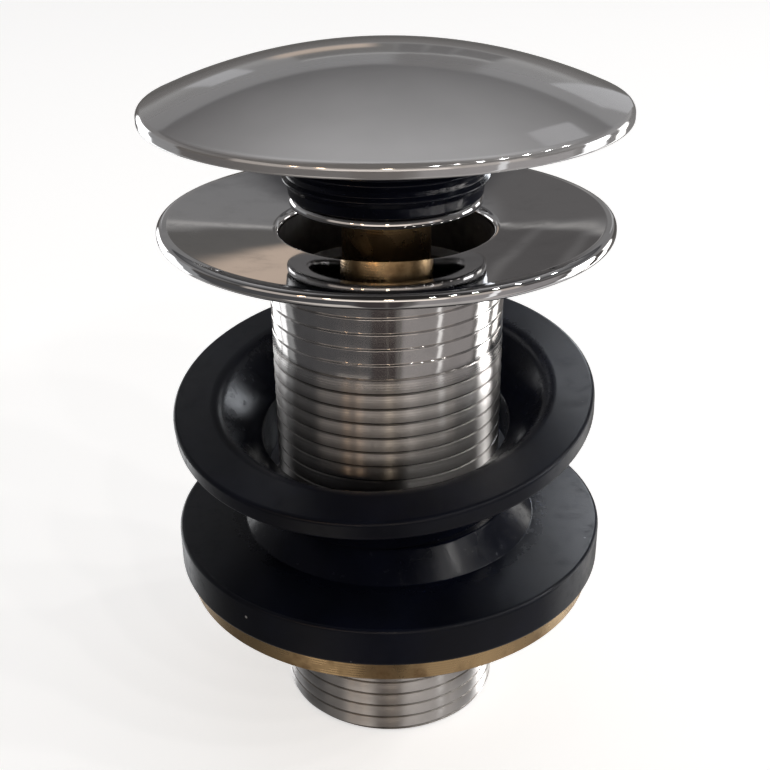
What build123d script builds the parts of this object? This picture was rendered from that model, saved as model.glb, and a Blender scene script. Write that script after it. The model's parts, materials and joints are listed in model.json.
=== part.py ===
"""Sprung plug basin waste: a flanged, threaded waste whose plug clicks shut and springs open.

Millimetres, +Z up. The origin is the centre of the flange's underside, where it seats on the basin.
The plug is modelled open, as it stands when the spring has lifted it.
"""

import os
from math import cos, radians, sin, sqrt, tan

from build123d import *

# Tail
thread_diameter = 33.25
tail_length = 76.4
tail_chamfer = 0.8
tail_wall = 2.725

# Flange
flange_diameter = 63.1
rim_height = 2.0
rim_round = 0.85
rim_land = 1.4
face_drop = 1.7
seat_width = 3.6
neck_depth = 2.8
neck_step = 1.4
mouth_step = 1.0
mouth_round = 1.0

# Spider inside the tail
spider_height = 4.5
spider_hub_diameter = 15.0
arm_width = 3.2
arm_count = 3

# Plug cap
plug_stroke = 12.3
overtravel = 1.2
cap_diameter = 65.6
cap_rim = 1.7
cap_rim_round = 0.6
cap_rise = 7.1
cap_wall = 1.6
cap_lip = 2.0
cap_rib_width = 2.2
cap_boss_diameter = 13.0
cap_thread_depth = 6.0

# Plug seal
seal_height = 9.8
seal_lip_overlap = 0.8
seal_lip_height = 1.6
seal_wall = 2.0
seal_bead = 0.45
seal_bead_height = 1.5
seal_bead_count = 2

# Seal carrier
carrier_step = 1.5
carrier_rim = 1.35
carrier_rim_round = 0.4
carrier_wall = 1.0
carrier_web = 1.6

# Cartridge
stem_diameter = 12.5
stem_head = 3.0
stem_stud_diameter = 8.0
stem_stud_length = 6.6
core_diameter = 8.0
core_guide = 13.0
core_stud_diameter = 7.0
core_stud_tip = 1.2
foot_height = 3.0
foot_flats = 12.0
ball_diameter = 2.0
ring_height = 3.0
collar_height = 2.6
pocket_diameter = 10.6
lock_washer_height = 1.2
cartridge_nut_height = 4.5
cartridge_nut_flats = 12.0

# Cam track: turn at each corner, counted from the open end
press_turn = 90
latch_turn = 130
release_turn = 170

# Return spring
spring_wire = 0.8
spring_solid = 7.6
spring_turns = 8

# Backnut and washers
nut_drop = 51.0
nut_diameter = 62.0
nut_flange_height = 3.5
nut_hex_flats = 44.0
nut_hex_height = 3.5
nut_edge = 0.5
lower_washer_diameter = 64.4
lower_rim_height = 5.9
lower_hub_wall = 1.625
lower_hub_taper = 3.5
lower_hub_height = 3.8
lower_recess_width = 6.525
lower_recess_depth = 3.2
upper_washer_diameter = 61.8
upper_rim_height = 3.0
upper_bore_clearance = 1.875
upper_hub_wall = 2.0
upper_hub_taper = 2.0
upper_hub_height = 11.0
upper_funnel_width = 5.7
upper_funnel_depth = 6.2
upper_shift_x = -0.8
upper_shift_y = -0.9
upper_lean = 9.5
upper_heading = 250
washer_round = 0.6

# Fits and gaps
running_fit = 0.05
slip_fit = 0.1
seat_fit = 0.02
closing_gap = 0.4
seal_gap = 0.65
washer_clearance = 0.35
rest_gap = 0.1

# Radii
thread_radius = thread_diameter / 2
bore_radius = thread_radius - tail_wall
flange_radius = flange_diameter / 2
mouth_radius = bore_radius + mouth_step
cap_radius = cap_diameter / 2
carrier_radius = mouth_radius - carrier_step
stem_radius = stem_diameter / 2
core_radius = core_diameter / 2
core_stud_radius = core_stud_diameter / 2
stem_stud_radius = stem_stud_diameter / 2
pocket_radius = pocket_diameter / 2
ball_radius = ball_diameter / 2

# Flange heights
mouth_z = rim_height - face_drop
face_radius = flange_radius - rim_land
face_slope = face_drop / (face_radius - mouth_radius)
seat_radius = flange_radius - rim_round - seat_width
neck_radius = thread_radius + neck_step

# Plug heights, from the shut plug up by its stroke
cap_rim_z = rim_height + closing_gap + overtravel + plug_stroke
cap_edge_z = cap_rim_z + cap_rim
dome_radius = (cap_radius**2 + cap_rise**2) / (2 * cap_rise)
dome_centre_z = cap_edge_z + cap_rise - dome_radius
seal_lip_radius = mouth_radius + seal_lip_overlap
seal_lip_z = mouth_z + face_slope * seal_lip_overlap + seal_gap + plug_stroke
seal_top = seal_lip_z + seal_lip_height
seal_bottom = seal_top - seal_height
seal_radius = mouth_radius - closing_gap
carrier_bottom = seal_bottom - carrier_rim
cup_radius = carrier_radius - seal_wall
cup_bore_radius = cup_radius - carrier_wall
well_depth = plug_stroke - seal_bottom + closing_gap

# Cartridge heights, from the carrier down to the spider
shoulder_z = seal_top - carrier_web
ceiling_z = shoulder_z - stem_head
core_top = ceiling_z - spring_solid - plug_stroke - overtravel
stem_bottom = core_top - core_guide
ring_bottom = stem_bottom + collar_height + running_fit
ring_z = ring_bottom + ring_height / 2
pocket_top = ring_bottom + ring_height + running_fit
foot_top = stem_bottom - plug_stroke - overtravel - closing_gap
spider_top = foot_top - foot_height
spider_bottom = spider_top - spider_height
lock_washer_bottom = spider_bottom - lock_washer_height
cartridge_nut_bottom = lock_washer_bottom - cartridge_nut_height
track_bottom = ring_z - plug_stroke - overtravel
track_latch = ring_z - plug_stroke
track_groove_radius = ball_radius + 3 * running_fit

# Washer heights, from the nut up
nut_bore_radius = thread_radius + running_fit
washer_bore_radius = thread_radius + washer_clearance
lower_rim_top = lower_rim_height - nut_drop
lower_top = lower_rim_top + lower_hub_height
lower_hub_tip = washer_bore_radius + lower_hub_wall
lower_hub_base = lower_hub_tip + lower_hub_taper
lower_recess_radius = washer_bore_radius + lower_recess_width
upper_bore_radius = thread_radius + upper_bore_clearance
upper_hub_tip = upper_bore_radius + upper_hub_wall
upper_hub_base = upper_hub_tip + upper_hub_taper
upper_mouth_radius = upper_bore_radius + upper_funnel_width
upper_depth = upper_rim_height + upper_hub_height
lean = radians(upper_lean)
heading = radians(upper_heading)
upper_axis = Vector(sin(lean) * cos(heading), sin(lean) * sin(heading), cos(lean))
upper_side = Vector(-sin(heading), cos(heading), 0)
upper_shift = upper_shift_x * cos(heading) + upper_shift_y * sin(heading)
upper_z = lower_top + rest_gap + upper_depth / cos(lean) + (lower_hub_tip - upper_shift) * tan(lean)


def corner(sketch, radius, height):
    """The corner of a turned outline nearest a radius and a height."""
    return sketch.vertices().sort_by_distance((radius, height, 0))[0]


def dome_z(radius, depth=0.0):
    """Height of the cap's dome at a radius, or of a surface that lies a depth under it."""
    return dome_centre_z + sqrt((dome_radius - depth) ** 2 - radius**2)


os.makedirs("parts", exist_ok=True)

# Waste body: dished flange, tail and spider, cast as one
with BuildPart() as waste_body:
    with BuildSketch(Plane.XZ) as casting:
        with BuildLine():
            Polyline(
                (bore_radius, -tail_length),
                (thread_radius, -tail_length),
                (thread_radius, -neck_depth - neck_step),
                (neck_radius, -neck_depth),
                (seat_radius, 0),
                (flange_radius, 0),
                (flange_radius, rim_height),
                (face_radius, rim_height),
                (mouth_radius, mouth_z),
                (mouth_radius, -well_depth),
                (bore_radius, -well_depth - mouth_step),
                close=True,
            )
        make_face()
        fillet(casting.vertices().group_by(Axis.X)[-1], rim_round)
        fillet(corner(casting, mouth_radius, mouth_z), mouth_round)
        chamfer(corner(casting, thread_radius, -tail_length), tail_chamfer)
    revolve(axis=Axis.Z)
    with BuildSketch(Plane.XY.offset(spider_bottom)):
        Circle(spider_hub_diameter / 2)
        arm_length = (bore_radius + thread_radius) / 2
        with PolarLocations(arm_length / 2, arm_count, start_angle=90):
            Rectangle(arm_length, arm_width)
    extrude(amount=spider_height)
    with BuildSketch(Plane.XY.offset(spider_bottom)):
        Circle(core_stud_radius + slip_fit)
    extrude(amount=spider_height, mode=Mode.SUBTRACT)
waste_body.part.label = "waste_body"
export_step(waste_body.part, "parts/waste_body.step")

# Plug cap: domed shell with a rib that backs the seal and a boss for the stem's stud
with BuildPart() as plug_cap:
    lip_radius = cap_radius - cap_lip
    with BuildSketch(Plane.XZ) as shell:
        with BuildLine():
            ThreePointArc(
                (0, dome_z(0)), (cap_radius / 2, dome_z(cap_radius / 2)), (cap_radius, cap_edge_z)
            )
            Polyline(
                (cap_radius, cap_edge_z),
                (cap_radius, cap_rim_z),
                (lip_radius, cap_rim_z),
                (lip_radius, dome_z(lip_radius, cap_wall)),
            )
            ThreePointArc(
                (lip_radius, dome_z(lip_radius, cap_wall)),
                (lip_radius / 2, dome_z(lip_radius / 2, cap_wall)),
                (0, dome_z(0, cap_wall)),
            )
            Line((0, dome_z(0, cap_wall)), (0, dome_z(0)))
        make_face()
        fillet(shell.vertices().group_by(Axis.X)[-1], cap_rim_round)
    revolve(axis=Axis.Z)
    with BuildSketch(Plane.XY.offset(seal_top)):
        Circle(carrier_radius)
        Circle(carrier_radius - cap_rib_width, mode=Mode.SUBTRACT)
    extrude(amount=dome_z(carrier_radius, cap_wall / 2) - seal_top)
    with BuildSketch(Plane.XY.offset(seal_top)):
        Circle(cap_boss_diameter / 2)
    extrude(amount=dome_z(cap_boss_diameter / 2, cap_wall / 2) - seal_top)
    with BuildSketch(Plane.XY.offset(seal_top)):
        Circle(stem_stud_radius + seat_fit)
    extrude(amount=cap_thread_depth, mode=Mode.SUBTRACT)
plug_cap.part.label = "plug_cap"
export_step(plug_cap.part, "parts/plug_cap.step")

# Plug seal: rubber sleeve with two wiping beads and a broad lip that shuts on the flange
with BuildPart() as plug_seal:
    with BuildSketch(Plane.XZ) as sleeve:
        with BuildLine():
            Polyline(
                (cup_radius + slip_fit, seal_bottom),
                (carrier_radius, seal_bottom),
                (seal_radius - seal_bead, seal_lip_z - seal_lip_height),
                (seal_lip_radius, seal_lip_z),
                (seal_lip_radius, seal_top),
                (cup_radius + slip_fit, seal_top),
                close=True,
            )
        make_face()
        fillet(sleeve.vertices().group_by(Axis.X)[-1], seal_lip_height / 4)
    revolve(axis=Axis.Z)
    bead_span = (seal_lip_z - seal_lip_height - seal_bottom) / (seal_bead_count + 1)
    for bead in range(seal_bead_count):
        bead_z = seal_bottom + bead_span * (bead + 1)
        with BuildSketch(Plane.XZ):
            with BuildLine():
                bead_root = carrier_radius - seal_bead
                Polyline(
                    (bead_root, bead_z - seal_bead_height / 2),
                    (seal_radius, bead_z + seal_bead_height / 4),
                    (bead_root, bead_z + seal_bead_height / 2),
                    close=True,
                )
            make_face()
        revolve(axis=Axis.Z)
plug_seal.part.label = "plug_seal"
export_step(plug_seal.part, "parts/plug_seal.step")

# Seal carrier: turned cup, open below, whose rim holds the seal up against the cap
with BuildPart() as seal_carrier:
    with BuildSketch(Plane.XZ) as cup:
        with BuildLine():
            Polyline(
                (cup_bore_radius, carrier_bottom),
                (carrier_radius, carrier_bottom),
                (carrier_radius, seal_bottom),
                (cup_radius, seal_bottom),
                (cup_radius, seal_top),
                (stem_stud_radius + slip_fit, seal_top),
                (stem_stud_radius + slip_fit, shoulder_z),
                (cup_bore_radius, shoulder_z),
                close=True,
            )
        make_face()
        fillet(corner(cup, carrier_radius, carrier_bottom), carrier_rim_round)
        fillet(corner(cup, cup_bore_radius, carrier_bottom), carrier_rim_round)
    revolve(axis=Axis.Z)
seal_carrier.part.label = "seal_carrier"
export_step(seal_carrier.part, "parts/seal_carrier.step")

# Plug stem: brass sleeve over the core, with a pocket at its foot for the index ring
with BuildPart() as plug_stem:
    with BuildSketch(Plane.XZ) as barrel:
        with BuildLine():
            Polyline(
                (0, ceiling_z),
                (core_radius + running_fit, ceiling_z),
                (core_radius + running_fit, pocket_top),
                (pocket_radius, pocket_top),
                (pocket_radius, stem_bottom),
                (stem_radius, stem_bottom),
                (stem_radius, shoulder_z),
                (stem_stud_radius, shoulder_z),
                (stem_stud_radius, shoulder_z + stem_stud_length),
                (0, shoulder_z + stem_stud_length),
                close=True,
            )
        make_face()
        chamfer(corner(barrel, stem_radius, stem_bottom), (stem_radius - pocket_radius) / 2)
        chamfer(corner(barrel, stem_stud_radius, shoulder_z + stem_stud_length), stem_stud_radius / 5)
    revolve(axis=Axis.Z)
plug_stem.part.label = "plug_stem"
export_step(plug_stem.part, "parts/plug_stem.step")

# Stem collar: pressed into the pocket under the index ring
with BuildPart() as stem_collar:
    with BuildSketch(Plane.XY.offset(stem_bottom)):
        Circle(pocket_radius - seat_fit)
        Circle(core_radius + running_fit, mode=Mode.SUBTRACT)
    extrude(amount=collar_height)
stem_collar.part.label = "stem_collar"
export_step(stem_collar.part, "parts/stem_collar.step")

# Index ring: turns in the pocket and carries the ball round the cam track
with BuildPart() as index_ring:
    with BuildSketch(Plane.XY.offset(ring_bottom)):
        Circle(pocket_radius - running_fit)
        Circle(core_radius + running_fit, mode=Mode.SUBTRACT)
    extrude(amount=ring_height)
    with BuildSketch(Plane.YZ):
        with Locations((0, ring_z)):
            Circle(ball_radius + seat_fit)
    extrude(amount=pocket_radius, mode=Mode.SUBTRACT)
index_ring.part.label = "index_ring"
export_step(index_ring.part, "parts/index_ring.step")

# Index ball: half in the ring, half in the track
with BuildPart(Plane((core_radius, 0, ring_z))) as index_ball:
    Sphere(ball_radius)
index_ball.part.label = "index_ball"
export_step(index_ball.part, "parts/index_ball.step")

# Cartridge core: post with an endless cam track, on a hexagon foot with a stud through the spider
track_corners = [
    (0, ring_z),
    (press_turn, track_bottom),
    (latch_turn, track_latch),
    (release_turn, track_bottom),
]
rising_legs = [
    (press_turn, press_turn, ring_z, True),
    (press_turn, latch_turn - press_turn, track_latch, False),
    (release_turn, release_turn - latch_turn, track_latch, True),
    (release_turn, 360 - release_turn, ring_z, False),
]
with BuildPart() as cartridge_core:
    with BuildSketch(Plane.XY.offset(foot_top)):
        Circle(core_radius)
    extrude(amount=core_top - foot_top)
    with BuildSketch(Plane.XY.offset(spider_top)):
        RegularPolygon(foot_flats / 2, 6, major_radius=False)
    extrude(amount=foot_height)
    with BuildSketch(Plane.XY.offset(cartridge_nut_bottom - core_stud_tip)):
        Circle(core_stud_radius)
    extrude(amount=spider_top - cartridge_nut_bottom + core_stud_tip)
    for start_turn, leg_turn, leg_top, left_handed in rising_legs:
        leg_rise = leg_top - track_bottom
        upright_leg = Helix(
            leg_rise * 360 / leg_turn,
            leg_rise,
            core_radius,
            center=(0, 0, track_bottom),
            lefthand=left_handed,
            mode=Mode.PRIVATE,
        )
        leg = upright_leg.rotate(Axis.Z, start_turn)
        with BuildSketch(Plane(origin=leg @ 0, z_dir=leg % 0)):
            Circle(track_groove_radius)
        sweep(path=leg, is_frenet=True, mode=Mode.SUBTRACT)
    for turn, height in track_corners:
        with Locations((core_radius * cos(radians(turn)), core_radius * sin(radians(turn)), height)):
            Sphere(track_groove_radius, mode=Mode.SUBTRACT)
cartridge_core.part.label = "cartridge_core"
export_step(cartridge_core.part, "parts/cartridge_core.step")

# Lock washer between the spider and its nut
with BuildPart() as lock_washer:
    with BuildSketch(Plane.XY.offset(lock_washer_bottom)):
        Circle(spider_hub_diameter / 2)
        Circle(core_stud_radius + slip_fit, mode=Mode.SUBTRACT)
    extrude(amount=lock_washer_height)
lock_washer.part.label = "lock_washer"
export_step(lock_washer.part, "parts/lock_washer.step")

# Cartridge nut on the core's stud
with BuildPart() as cartridge_nut:
    with BuildSketch(Plane.XY.offset(cartridge_nut_bottom)):
        RegularPolygon(cartridge_nut_flats / 2, 6, major_radius=False)
        Circle(core_stud_radius + seat_fit, mode=Mode.SUBTRACT)
    extrude(amount=cartridge_nut_height)
cartridge_nut.part.label = "cartridge_nut"
export_step(cartridge_nut.part, "parts/cartridge_nut.step")

# Return spring between the core and the stem's head
with BuildPart() as return_spring:
    coil_radius = core_radius - spring_wire / 2 - slip_fit
    spring_foot = core_top + spring_wire / 2 + running_fit
    spring_length = ceiling_z - core_top - spring_wire - 2 * running_fit
    with BuildLine(Plane.XY.offset(spring_foot)) as coil:
        Helix(spring_length / spring_turns, spring_length, coil_radius)
    with BuildSketch(Plane(origin=coil.line @ 0, z_dir=coil.line % 0)):
        Circle(spring_wire / 2)
    sweep(path=coil.line, is_frenet=True)
return_spring.part.label = "return_spring"
export_step(return_spring.part, "parts/return_spring.step")

# Backnut: thin round flange with a hexagon under it
with BuildPart() as backnut:
    with BuildSketch(Plane.XY.offset(-nut_drop - nut_flange_height)):
        Circle(nut_diameter / 2)
    extrude(amount=nut_flange_height)
    chamfer(backnut.edges(), nut_edge)
    with BuildSketch(Plane.XY.offset(-nut_drop - nut_flange_height - nut_hex_height)):
        RegularPolygon(nut_hex_flats / 2, 6, major_radius=False)
    extrude(amount=nut_hex_height)
    with BuildSketch(Plane.XY.offset(-nut_drop)):
        Circle(nut_bore_radius)
    extrude(amount=-nut_flange_height - nut_hex_height, mode=Mode.SUBTRACT)
backnut.part.label = "backnut"
export_step(backnut.part, "parts/backnut.step")

# Lower washer: thick rubber rim, a tapered hub above and a recess below
with BuildPart() as lower_washer:
    with BuildSketch(Plane.XZ) as thick_section:
        with BuildLine():
            Polyline(
                (washer_bore_radius, lower_recess_depth - nut_drop),
                (lower_recess_radius - lower_recess_depth, lower_recess_depth - nut_drop),
                (lower_recess_radius, -nut_drop),
                (lower_washer_diameter / 2, -nut_drop),
                (lower_washer_diameter / 2, lower_rim_top),
                (lower_hub_base, lower_rim_top),
                (lower_hub_tip, lower_top),
                (washer_bore_radius, lower_top),
                close=True,
            )
        make_face()
        fillet(thick_section.vertices().group_by(Axis.X)[-1], washer_round)
        fillet(corner(thick_section, lower_hub_tip, lower_top), washer_round)
    revolve(axis=Axis.Z)
lower_washer.part.label = "lower_washer"
export_step(lower_washer.part, "parts/lower_washer.step")

# Upper washer: thin rubber rim with a funnel mouth and a deep hub, leaning on the lower washer
with BuildPart() as upper_washer:
    upper_origin = Vector(upper_shift_x, upper_shift_y, upper_z)
    section_plane = Plane(origin=upper_origin, x_dir=upper_side, z_dir=upper_side.cross(upper_axis))
    with BuildSketch(section_plane) as thin_section:
        with BuildLine():
            Polyline(
                (upper_bore_radius, -upper_depth),
                (upper_hub_tip, -upper_depth),
                (upper_hub_base, -upper_rim_height),
                (upper_washer_diameter / 2, -upper_rim_height),
                (upper_washer_diameter / 2, 0),
                (upper_mouth_radius, 0),
                (upper_bore_radius, -upper_funnel_depth),
                close=True,
            )
        make_face()
        fillet(thin_section.vertices().group_by(Axis.X)[-1], washer_round)
        fillet(corner(thin_section, upper_mouth_radius, 0), upper_rim_height)
        fillet(corner(thin_section, upper_hub_tip, -upper_depth), washer_round)
    revolve(axis=Axis(upper_origin, upper_axis))
upper_washer.part.label = "upper_washer"
export_step(upper_washer.part, "parts/upper_washer.step")
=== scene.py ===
"""Looks of a sprung plug basin waste, built round its packed solids.

Laid out as a Blender add-on and run as a script. The frame is that of the solids: metres, +Z up,
the origin at the centre of the flange's seat, -Y towards the camera. Sections are drawn in
millimetres and scaled once, when a piece is placed.
"""

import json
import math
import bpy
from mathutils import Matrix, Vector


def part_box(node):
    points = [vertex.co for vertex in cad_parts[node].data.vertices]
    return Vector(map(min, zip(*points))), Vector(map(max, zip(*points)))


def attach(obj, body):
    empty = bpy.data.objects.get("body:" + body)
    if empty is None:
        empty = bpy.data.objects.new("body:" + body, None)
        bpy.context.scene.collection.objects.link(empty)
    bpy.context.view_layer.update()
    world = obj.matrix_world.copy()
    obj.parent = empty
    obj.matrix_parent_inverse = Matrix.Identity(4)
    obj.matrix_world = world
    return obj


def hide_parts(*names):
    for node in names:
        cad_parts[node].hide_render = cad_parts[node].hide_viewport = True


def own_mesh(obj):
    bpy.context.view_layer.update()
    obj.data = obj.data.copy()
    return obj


bl_info = {
    "name": "Sprung plug basin waste",
    "version": (1, 0, 0),
    "blender": (4, 5, 0),
    "location": "3D View > Sidebar > Waste",
    "description": "Builds the plated, threaded, rubber and brass pieces of a basin waste",
    "category": "Object",
}

import bmesh
import bpy
from bpy.props import FloatProperty, FloatVectorProperty, IntProperty, PointerProperty
from bpy.types import Operator, Panel, PropertyGroup
from mathutils import Matrix, Vector

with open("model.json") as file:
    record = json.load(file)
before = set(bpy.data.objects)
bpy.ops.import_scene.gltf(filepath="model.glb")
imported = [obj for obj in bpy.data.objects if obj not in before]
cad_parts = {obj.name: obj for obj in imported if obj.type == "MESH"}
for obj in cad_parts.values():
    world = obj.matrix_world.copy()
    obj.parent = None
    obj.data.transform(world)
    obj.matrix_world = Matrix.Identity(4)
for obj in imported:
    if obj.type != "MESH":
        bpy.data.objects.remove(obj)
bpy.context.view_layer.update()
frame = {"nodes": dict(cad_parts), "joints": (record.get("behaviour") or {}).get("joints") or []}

MM = 0.001
FULL_TURN = 2 * math.pi
DEGREES = 180 / math.pi
SHARP_ANGLE = math.radians(32)
UP = Vector((0, 0, 1))
POLE = 1e-6
THREAD_FACES = 1
BORE_FACES = 2

# Steps round arcs, bits, domes, coils and wires
ARC_STEPS = 8
DRILL_STEPS = 48
ARM_GAP_STEPS = 16
DOME_STEPS = 40
RIB_STEPS = 4
SPRING_STEPS = 32
WIRE_STEPS = 12

# Rounds and fits of the sections, in millimetres
HOLD = 0.04
SLIGHT_EASE = 0.1
FINE_EASE = 0.2
EASE = 0.3
FULL_EASE = 0.4
LIP_ROUND = 0.35
ROLLED_EDGE = 0.85
SWEEP_ROUND = 0.8
DISH_ROUND = 2.5
LOWER_ROOT = 0.25
UPPER_ROOT = 0.5
TIP_ROUND = 0.6
HEXAGON_EDGE = 0.6
SPIDER_EDGE = 0.4
SPIDER_ARMS = 3
DOME_BREAK = 3
WEB_FIT = 0.1
SEAT_FIT = 0.02
STUD_RADIUS = 3.5
NUT_LEAD = 0.5
OVERCUT = 1
SEAL_BEADS = 2
SEAL_WAIST = 0.65

# A wiping bead: share of its height, step off the wall, level and round
BEAD = ((0, -0.05, -0.7, 0.3), (1, 0, 0.25, 0.25), (0, 0.05, 0.75, 0.15))

# Thread: shares of the pitch, drops in millimetres, and where the tooled part starts, in metres
THREAD_START = 0.3
SPARE_TURNS = 2
CREST_ROWS = 6
CROWN = 0.07
SMOOTH_CROWN = 0.3
SMOOTH_DEPTH = 0.35
SHOULDER = 0.07
SHOULDER_DROP = 0.035
FLANK_SHARE = 0.4
FLANK_DEPTH = 0.92
TOOLED_TOP = -0.0145
TOOLED_FADE = 0.0035

# Stage, in metres; angles in degrees
FLOOR_RADIUS = 3.0
FLOOR_SWEEP = 1.0
WALL_HEIGHT = 3.0
SENSOR_WIDTH = 36.0
NEAR_CLIP = 0.01
FRONT_TURN = (60, 150)
FRONT_RISE = (-12, 8)
FRONT_TONE = (0.030, 0.028, 0.027)

# Tones of the room by elevation, in degrees above the floor's horizon
ROOM_TONES = (
    (-90, (0.26, 0.25, 0.24)),
    (-45, (0.22, 0.21, 0.20)),
    (-18, (0.17, 0.16, 0.155)),
    (0, (0.10, 0.095, 0.09)),
    (7, (0.16, 0.15, 0.145)),
    (10.5, (0.36, 0.355, 0.35)),
    (15, (0.28, 0.275, 0.275)),
    (24.5, (0.27, 0.27, 0.275)),
    (26, (0.085, 0.085, 0.09)),
    (34, (0.19, 0.19, 0.195)),
    (44, (0.33, 0.33, 0.335)),
    (54, (0.50, 0.50, 0.505)),
    (63, (0.66, 0.66, 0.665)),
    (90, (0.80, 0.80, 0.81)),
)

# Panels on the room's walls: left, right, low and high in degrees, softness and colour
ROOM_PANELS = (
    (88, 166, -34, -4, 3.0, (0.40, 0.38, 0.38)),
    (95, 166, -70, -34, 3.0, (0.62, 0.59, 0.57)),
    (-160, -125, -70, -34, 3.0, (0.85, 0.79, 0.73)),
    (-180, -163, -70, -8, 2.0, (0.07, 0.06, 0.06)),
    (172, 180, -70, -8, 2.0, (0.07, 0.06, 0.06)),
    (-165, -75, -34, -8, 3.0, (0.10, 0.10, 0.105)),
    (-184, -110, -5, 20, 3.0, (0.72, 0.65, 0.59)),
    (115, 184, -5, 20, 3.0, (0.72, 0.65, 0.59)),
    (-184, -152, -5, 8, 2.0, (1.7, 1.53, 1.38)),
    (152, 184, -5, 8, 2.0, (1.7, 1.53, 1.38)),
    (126, 130, -34, 12, 0.8, (1.4, 1.4, 1.4)),
    (64, 82, -34, -13, 1.5, (2.8, 2.8, 2.8)),
    (64, 82, -13, 10, 1.5, (7.0, 7.0, 7.0)),
    (42, 54, -34, 10, 1.5, (3.0, 2.95, 2.85)),
    (-76, -50, -34, 10, 2.0, (0.42, 0.43, 0.44)),
    (-50, -28, -34, -13, 1.5, (2.6, 2.63, 2.67)),
    (-50, -28, -13, 10, 1.5, (3.4, 3.43, 3.47)),
    (36, 78, -70, -36, 2.0, (0.80, 0.80, 0.80)),
    (-58, -28, -70, -36, 2.0, (0.50, 0.50, 0.51)),
    (-100, -62, -70, -36, 2.0, (0.13, 0.125, 0.12)),
    (-8, 1, 9.0, 17.2, 0.5, (0.15, 0.145, 0.14)),
    (1, 3.5, 9.0, 17.2, 0.5, (0.12, 0.115, 0.115)),
    (3.5, 6, 9.0, 16.6, 0.5, (0.12, 0.115, 0.115)),
    (6, 10, 9.0, 15.8, 0.5, (0.12, 0.115, 0.115)),
    (1, 10, 17.6, 26.0, 1.0, (0.16, 0.155, 0.155)),
    (-8, 2, 17.6, 18.3, 0.3, (0.50, 0.49, 0.48)),
    (2, 4.2, 17.2, 17.9, 0.4, (0.42, 0.41, 0.40)),
    (4.2, 6.4, 16.7, 17.4, 0.4, (0.42, 0.41, 0.40)),
    (6.4, 10, 16.1, 16.8, 0.4, (0.42, 0.41, 0.40)),
    (-9, -1, 8.5, 12.5, 1.0, (0.66, 0.53, 0.43)),
    (-17, -12.5, 9.5, 17, 0.4, (0.52, 0.52, 0.53)),
    (17, 23.5, 2, 19.5, 0.4, (0.52, 0.52, 0.53)),
    (26.5, 31.5, 33, 44, 0.4, (0.50, 0.50, 0.51)),
)

# Lamps: name, place in metres, then width, height, power, colour and the pieces that they reach
CEILING = (0.06, 0.06, 1.2, (1.0, 0.98, 0.95), "all")
WARM = (0.08, 0.08, 0.35, (1.0, 0.66, 0.40), "all")
LAMPS = (
    ("ceiling_lamp_1", (0.55, -1.30, 0.95), *CEILING),
    ("ceiling_lamp_2", (0.72, -1.05, 0.95), *CEILING),
    ("ceiling_lamp_3", (0.86, -0.80, 0.95), *CEILING),
    ("ceiling_lamp_4", (0.98, -0.55, 0.95), *CEILING),
    ("ceiling_lamp_5", (1.08, -0.28, 0.95), *CEILING),
    ("ceiling_lamp_6", (1.15, 0.0, 0.95), *CEILING),
    ("ceiling_lamp_7", (1.15, 0.25, 0.90), *CEILING),
    ("warm_lamp_1", (-0.55, -1.05, 0.30), *WARM),
    ("warm_lamp_2", (-0.75, -0.90, 0.30), *WARM),
    ("warm_lamp_3", (0.02, -1.25, 0.43), 0.10, 0.10, 0.6, (1.0, 0.82, 0.60), "all"),
    ("card_right_low", (0.058, 0.092, 0.012), 0.035, 0.035, 0.030, (0.90, 0.94, 1.0), "rubber"),
    ("card_right_high", (0.042, 0.069, 0.054), 0.03, 0.03, 0.016, (0.90, 0.94, 1.0), "rubber"),
    ("card_right_side", (0.46, -0.08, 0.13), 0.06, 0.06, 0.5, (0.93, 0.96, 1.0), "rubber"),
    ("window_left", (-0.30, 0.79, 0.53), 0.14, 0.14, 0.15, (0.93, 0.96, 1.0), "rubber"),
    ("window_right", (0.30, 0.82, 0.50), 0.14, 0.14, 0.5, (0.93, 0.96, 1.0), "rubber"),
    ("strip_right", (0.449, 0.137, -0.10), 0.10, 0.36, 1.2, (1.0, 0.99, 0.97), "body"),
    ("strip_left", (-0.407, 0.235, -0.10), 0.10, 0.36, 0.14, (0.97, 0.98, 1.0), "body"),
)

# Pieces that a lamp of that reach lights, where it doesn't light them all
LAMP_REACH = {
    "rubber": ("rubber_plug_seal", "upper_rubber_washer", "lower_rubber_washer"),
    "body": ("threaded_waste_body",),
}

body_low, body_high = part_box("waste_body")
cap_low, cap_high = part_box("plug_cap")
seal_low, seal_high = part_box("plug_seal")
carrier_low, carrier_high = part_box("seal_carrier")
stem_low, stem_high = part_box("plug_stem")
nut_low, nut_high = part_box("backnut")
lower_low, lower_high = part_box("lower_washer")
spring_low, spring_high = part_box("return_spring")


def length(name, description, default):
    """A length in metres that a user can change."""
    return FloatProperty(
        name=name, description=description, default=default, min=0.0, unit="LENGTH", precision=5
    )


def height(name, description, default):
    """A height in metres above the flange's seat, or below it where negative."""
    return FloatProperty(
        name=name, description=description, default=default, unit="LENGTH", precision=5
    )


def angle(name, description, degrees):
    """An angle that a user can change."""
    return FloatProperty(
        name=name, description=description, default=math.radians(degrees), subtype="ANGLE"
    )


def spot(name, description, default):
    """A place in metres that a user can change."""
    return FloatVectorProperty(
        name=name, description=description, default=default, size=3,
        subtype="TRANSLATION", unit="LENGTH",
    )


def colour(name, description, default):
    """A linear colour that a user can change."""
    return FloatVectorProperty(
        name=name, description=description, default=default, size=3,
        subtype="COLOR", min=0.0, max=1.0,
    )


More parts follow.
